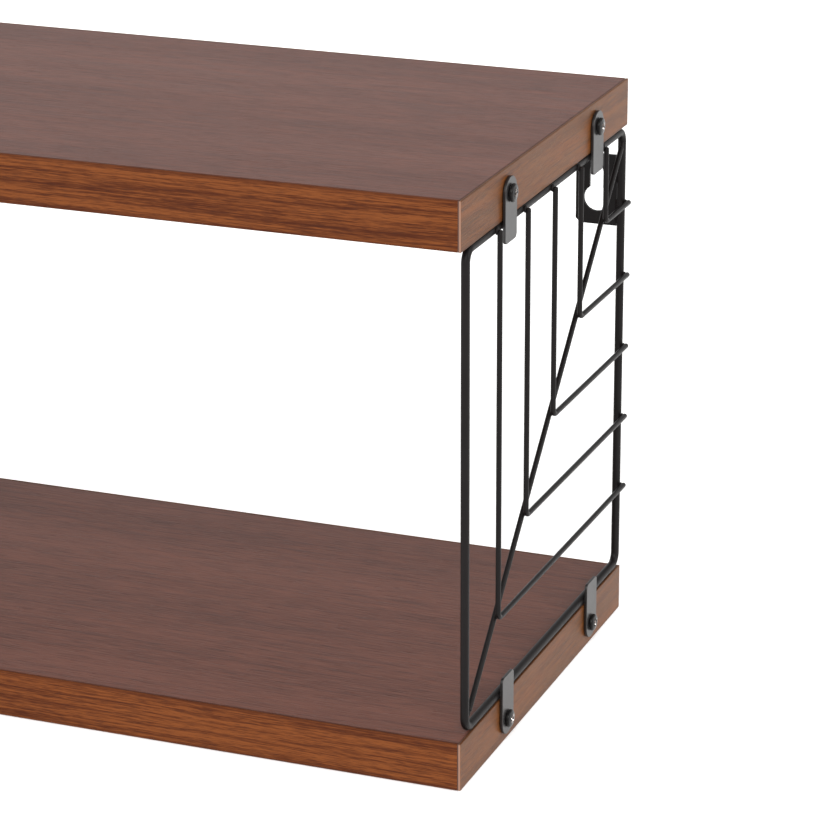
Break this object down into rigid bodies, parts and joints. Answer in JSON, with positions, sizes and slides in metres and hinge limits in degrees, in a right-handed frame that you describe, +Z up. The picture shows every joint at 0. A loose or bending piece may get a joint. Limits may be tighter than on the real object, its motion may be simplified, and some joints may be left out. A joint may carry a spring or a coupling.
{
  "type": "two tier wall shelf",
  "caption": "Two-tier wall shelf: banded wood-look boards held apart by welded wire side frames with screwed tabs and keyhole hanger plates.",
  "frame": {"origin": "on the ground under the middle of the lower board", "axes": "+X along the boards, +Y towards the wall, +Z up"},
  "size_m": [0.8072, 0.2, 0.24],
  "materials": {
    "walnut_laminate": "satin printed walnut laminate, grain along the length",
    "walnut_edge_band": "satin walnut edge band, grain along each edge",
    "black_powder_coat": "satin black powder coat on steel",
    "black_screw": "satin black zinc screw"
  },
  "bodies": {
    "root": {"left_bent_wire_1": "black_powder_coat", "left_bent_wire_2": "black_powder_coat", "left_bent_wire_3": "black_powder_coat", "left_bent_wire_4": "black_powder_coat", "left_bent_wire_5": "black_powder_coat", "left_diagonal_wire": "black_powder_coat", "left_hanger_plate": "black_powder_coat", "left_loop": "black_powder_coat", "left_lower_front_screw": "black_screw", "left_lower_front_tab": "black_powder_coat", "left_lower_rear_screw": "black_screw", "left_lower_rear_tab": "black_powder_coat", "left_upper_front_screw": "black_screw", "left_upper_front_tab": "black_powder_coat", "left_upper_rear_screw": "black_screw", "left_upper_rear_tab": "black_powder_coat", "lower_board_core": "walnut_laminate", "lower_board_front_band": "walnut_edge_band", "lower_board_left_band": "walnut_edge_band", "lower_board_rear_band": "walnut_edge_band", "lower_board_right_band": "walnut_edge_band", "right_bent_wire_1": "black_powder_coat", "right_bent_wire_2": "black_powder_coat", "right_bent_wire_3": "black_powder_coat", "right_bent_wire_4": "black_powder_coat", "right_bent_wire_5": "black_powder_coat", "right_diagonal_wire": "black_powder_coat", "right_hanger_plate": "black_powder_coat", "right_loop": "black_powder_coat", "right_lower_front_screw": "black_screw", "right_lower_front_tab": "black_powder_coat", "right_lower_rear_screw": "black_screw", "right_lower_rear_tab": "black_powder_coat", "right_upper_front_screw": "black_screw", "right_upper_front_tab": "black_powder_coat", "right_upper_rear_screw": "black_screw", "right_upper_rear_tab": "black_powder_coat", "upper_board_core": "walnut_laminate", "upper_board_front_band": "walnut_edge_band", "upper_board_left_band": "walnut_edge_band", "upper_board_rear_band": "walnut_edge_band", "upper_board_right_band": "walnut_edge_band"}
  },
  "joints": []
}
